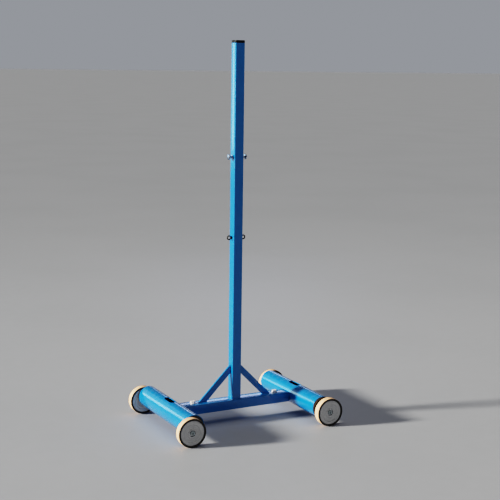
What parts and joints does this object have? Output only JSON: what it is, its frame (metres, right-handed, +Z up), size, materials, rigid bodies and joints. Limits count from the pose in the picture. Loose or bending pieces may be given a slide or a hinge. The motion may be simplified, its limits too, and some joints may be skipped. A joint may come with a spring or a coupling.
{
  "type": "badminton net post",
  "caption": "Mobile centre post for badminton nets: square upright with cord knobs and eyes, braced on a crossbar between wheeled ballast tubes.",
  "frame": {"origin": "on the floor under the middle of the upright", "axes": "+X along the crossbar, +Y along the ballast tubes and the wheel axles, +Z up"},
  "size_m": [0.735, 0.5152, 1.55],
  "materials": {
    "blue_paint": "gloss blue paint on steel tube",
    "black_paint": "black paint on steel plate",
    "black_plastic": "black moulded plastic",
    "zinc_steel": "zinc plated steel",
    "cast_ballast": "rough cast ballast inside the tubes",
    "cream_rubber": "cream non-marking rubber tread",
    "black_rubber": "black rubber tyre core with a shoulder on each side of the tread",
    "grey_nylon": "grey moulded nylon",
    "white_nylon": "plain nylon"
  },
  "bodies": {
    "frame": {"left_front_end_plate": "black_paint", "left_rear_end_plate": "black_paint", "right_front_end_plate": "black_paint", "right_rear_end_plate": "black_paint", "upright_tube": "blue_paint", "crossbar_tube": "blue_paint", "brace_left": "blue_paint", "brace_right": "blue_paint", "left_ballast_tube": "blue_paint", "left_stub_tube": "blue_paint", "right_ballast_tube": "blue_paint", "right_stub_tube": "blue_paint", "upright_cap": "black_plastic", "cord_eye_left": "black_plastic", "cord_eye_right": "black_plastic", "cord_knob_rod": "zinc_steel", "cord_eye_rod": "zinc_steel", "cord_knob_left": "zinc_steel", "cord_knob_right": "zinc_steel", "left_clamp_bolt": "zinc_steel", "left_clamp_washer_lower": "zinc_steel", "left_clamp_washer_upper": "zinc_steel", "left_clamp_nut": "zinc_steel", "right_clamp_bolt": "zinc_steel", "right_clamp_washer_lower": "zinc_steel", "right_clamp_washer_upper": "zinc_steel", "right_clamp_nut": "zinc_steel", "left_front_axle_washer": "zinc_steel", "left_front_axle_bolt": "zinc_steel", "left_front_axle_spacer": "zinc_steel", "left_rear_axle_washer": "zinc_steel", "left_rear_axle_bolt": "zinc_steel", "left_rear_axle_spacer": "zinc_steel", "right_front_axle_washer": "zinc_steel", "right_front_axle_bolt": "zinc_steel", "right_front_axle_spacer": "zinc_steel", "right_rear_axle_washer": "zinc_steel", "right_rear_axle_bolt": "zinc_steel", "right_rear_axle_spacer": "zinc_steel", "left_ballast_fill": "cast_ballast", "right_ballast_fill": "cast_ballast"},
    "left_front_wheel": {"left_front_wheel_tread": "cream_rubber", "left_front_wheel_tyre_core": "black_rubber", "left_front_wheel_disc": "grey_nylon", "left_front_wheel_bush": "white_nylon"},
    "left_rear_wheel": {"left_rear_wheel_tread": "cream_rubber", "left_rear_wheel_tyre_core": "black_rubber", "left_rear_wheel_disc": "grey_nylon", "left_rear_wheel_bush": "white_nylon"},
    "right_front_wheel": {"right_front_wheel_tread": "cream_rubber", "right_front_wheel_tyre_core": "black_rubber", "right_front_wheel_disc": "grey_nylon", "right_front_wheel_bush": "white_nylon"},
    "right_rear_wheel": {"right_rear_wheel_tread": "cream_rubber", "right_rear_wheel_tyre_core": "black_rubber", "right_rear_wheel_disc": "grey_nylon", "right_rear_wheel_bush": "white_nylon"}
  },
  "joints": [
    {"name": "left_front_wheel_spin", "type": "hinge", "parent": "frame", "child": "left_front_wheel", "pos_m": [-0.31, -0.242, 0.0575], "axis": [0, 1, 0], "continuous": true},
    {"name": "left_rear_wheel_spin", "type": "hinge", "parent": "frame", "child": "left_rear_wheel", "pos_m": [-0.31, 0.242, 0.0575], "axis": [0, 1, 0], "continuous": true},
    {"name": "right_front_wheel_spin", "type": "hinge", "parent": "frame", "child": "right_front_wheel", "pos_m": [0.31, -0.242, 0.0575], "axis": [0, 1, 0], "continuous": true},
    {"name": "right_rear_wheel_spin", "type": "hinge", "parent": "frame", "child": "right_rear_wheel", "pos_m": [0.31, 0.242, 0.0575], "axis": [0, 1, 0], "continuous": true}
  ]
}
